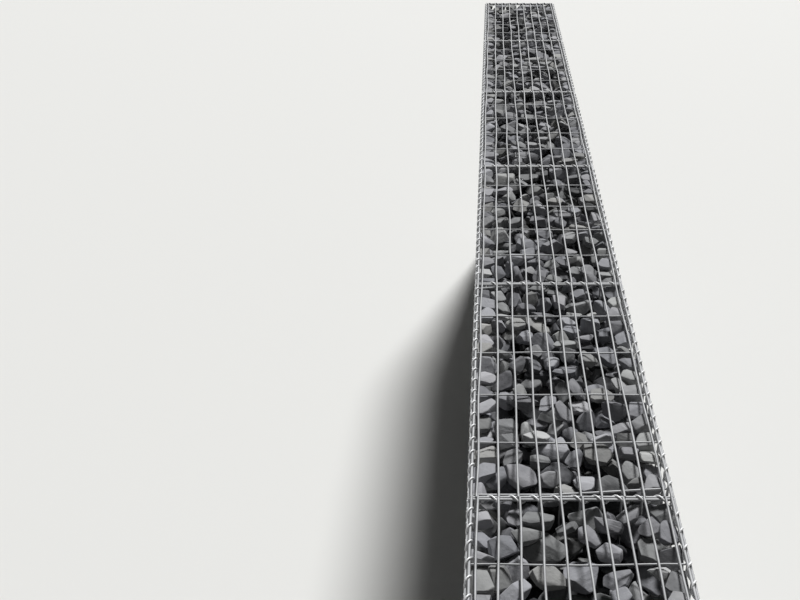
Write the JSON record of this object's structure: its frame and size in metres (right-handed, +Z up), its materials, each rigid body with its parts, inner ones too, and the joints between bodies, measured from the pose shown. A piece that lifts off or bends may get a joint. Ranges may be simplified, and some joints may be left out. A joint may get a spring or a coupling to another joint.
{
  "type": "gabion wall",
  "caption": "Straight free-standing gabion wall of welded-mesh cages filled with slate stones and closed along the edges and joints with spiral binders.",
  "frame": {"origin": "on the ground, under the middle of the wall", "axes": "+Z up, +Y along the wall, +X across it from the front face to the back face"},
  "size_m": [0.5184, 6.0238, 2.0057],
  "materials": {
    "galvanised_mesh": "dull zinc, slightly weathered",
    "galvanised_spiral": "brighter zinc",
    "slate_stone": "matt broken slate"
  },
  "bodies": {
    "root": {"front_mesh_1": "galvanised_mesh", "back_mesh_1": "galvanised_mesh", "lid_mesh_1": "galvanised_mesh", "base_mesh_1": "galvanised_mesh", "front_mesh_2": "galvanised_mesh", "back_mesh_2": "galvanised_mesh", "lid_mesh_2": "galvanised_mesh", "base_mesh_2": "galvanised_mesh", "front_mesh_3": "galvanised_mesh", "back_mesh_3": "galvanised_mesh", "lid_mesh_3": "galvanised_mesh", "base_mesh_3": "galvanised_mesh", "front_mesh_4": "galvanised_mesh", "back_mesh_4": "galvanised_mesh", "lid_mesh_4": "galvanised_mesh", "base_mesh_4": "galvanised_mesh", "front_mesh_5": "galvanised_mesh", "back_mesh_5": "galvanised_mesh", "lid_mesh_5": "galvanised_mesh", "base_mesh_5": "galvanised_mesh", "front_mesh_6": "galvanised_mesh", "back_mesh_6": "galvanised_mesh", "lid_mesh_6": "galvanised_mesh", "base_mesh_6": "galvanised_mesh", "end_mesh_near": "galvanised_mesh", "end_mesh_far": "galvanised_mesh", "diaphragm_1": "galvanised_mesh", "diaphragm_2": "galvanised_mesh", "diaphragm_3": "galvanised_mesh", "diaphragm_4": "galvanised_mesh", "diaphragm_5": "galvanised_mesh", "stone_fill_1": "slate_stone", "stone_fill_2": "slate_stone", "stone_fill_3": "slate_stone", "stone_fill_4": "slate_stone", "stone_fill_5": "slate_stone", "stone_fill_6": "slate_stone", "lid_spirals_front": "galvanised_spiral", "lid_spirals_back": "galvanised_spiral", "lid_spirals_cross": "galvanised_spiral", "base_spirals_front": "galvanised_spiral", "base_spirals_back": "galvanised_spiral", "upright_spirals_front": "galvanised_spiral", "upright_spirals_back": "galvanised_spiral"}
  },
  "joints": []
}
